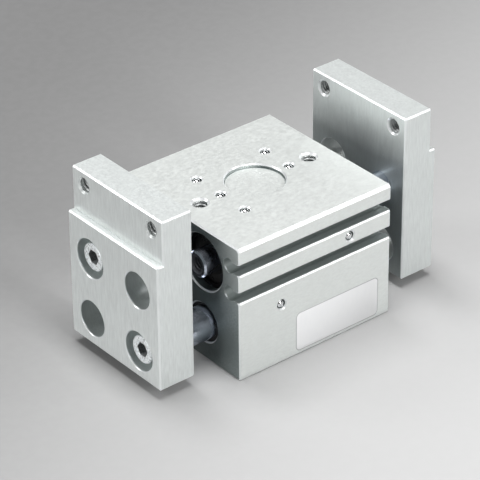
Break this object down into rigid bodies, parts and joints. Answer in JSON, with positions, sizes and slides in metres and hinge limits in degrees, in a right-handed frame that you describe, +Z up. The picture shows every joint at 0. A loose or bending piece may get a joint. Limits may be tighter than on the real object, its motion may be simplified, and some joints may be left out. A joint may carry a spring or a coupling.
{
  "type": "pneumatic parallel gripper",
  "caption": "Parallel gripper with a square aluminium body, stepped jaw plates on round rods and twin cylinders coupled by a rack and pinion.",
  "frame": {"origin": "centre of the body's bottom face", "axes": "+X along the jaw travel, -Y the front face with the sensor grooves, +Z up through the top face with the tapped holes"},
  "size_m": [0.1004, 0.053, 0.0563],
  "materials": {
    "body_aluminium": "clear anodised, fine milled grain",
    "finger_aluminium": "clear anodised, brushed",
    "cover_aluminium": "turned, clear anodised",
    "black_cover": "turned, black anodised",
    "bush_bronze": "sintered bronze, oil-filled",
    "seal_rubber": "black nitrile, smooth",
    "black_spring_steel": "phosphated spring steel",
    "ground_steel": "hardened and ground",
    "rod_steel": "ground and polished",
    "ball_steel": "polished bearing ball",
    "screw_steel": "bright zinc",
    "magnet": "bonded magnet",
    "pinion_steel": "hobbed, case hardened"
  },
  "bodies": {
    "body": {"housing": "body_aluminium", "rod_cover_front_left": "black_cover", "rod_cover_rear_left": "black_cover", "rod_cover_front_right": "black_cover", "rod_cover_rear_right": "black_cover", "cover_bush_front_left": "bush_bronze", "cover_bush_rear_left": "bush_bronze", "cover_bush_front_right": "bush_bronze", "cover_bush_rear_right": "bush_bronze", "rod_seal_front_left": "seal_rubber", "rod_seal_rear_left": "seal_rubber", "rod_seal_front_right": "seal_rubber", "rod_seal_rear_right": "seal_rubber", "cover_o_ring_front_left": "seal_rubber", "cover_o_ring_rear_left": "seal_rubber", "cover_o_ring_front_right": "seal_rubber", "cover_o_ring_rear_right": "seal_rubber", "guide_bush_front_left": "bush_bronze", "guide_bush_rear_left": "bush_bronze", "guide_bush_front_right": "bush_bronze", "guide_bush_rear_right": "bush_bronze", "cover_circlips": "black_spring_steel", "pinion_pin": "ground_steel", "pinion_washer": "ground_steel", "pinion_cover": "cover_aluminium", "pinion_cover_circlip": "black_spring_steel", "top_ball_plugs": "ball_steel", "front_ball_plugs": "ball_steel"},
    "left_jaw": {"left_finger_plate": "finger_aluminium", "left_finger_screws": "screw_steel", "left_piston_rod": "rod_steel", "left_guide_rod": "rod_steel", "left_piston": "cover_aluminium", "left_piston_seals": "seal_rubber", "left_piston_magnet": "magnet", "left_piston_bumpers": "seal_rubber"},
    "right_jaw": {"right_finger_plate": "finger_aluminium", "right_finger_screws": "screw_steel", "right_piston_rod": "rod_steel", "right_guide_rod": "rod_steel", "right_piston": "cover_aluminium", "right_piston_seals": "seal_rubber", "right_piston_magnet": "magnet", "right_piston_bumpers": "seal_rubber"},
    "pinion": {"drive_pinion": "pinion_steel", "pinion_bush": "bush_bronze"}
  },
  "joints": [
    {"name": "right_jaw_slide", "type": "slide", "parent": "body", "child": "right_jaw", "axis": [1, 0, 0], "range_m": [-0.0097, 0.0053]},
    {"name": "left_jaw_slide", "type": "slide", "parent": "body", "child": "left_jaw", "axis": [-1, 0, 0], "range_m": [-0.0097, 0.0053]},
    {"name": "pinion_spin", "type": "hinge", "parent": "body", "child": "pinion", "pos_m": [0, 0, 0.01165], "axis": [0, 0, 1], "range_deg": [-42.3, 77.3]}
  ],
  "couplings": [
    {"joint": "left_jaw_slide", "follows": "right_jaw_slide", "ratio": 1},
    {"joint": "pinion_spin", "follows": "right_jaw_slide", "rad_per_m": -138.89}
  ]
}
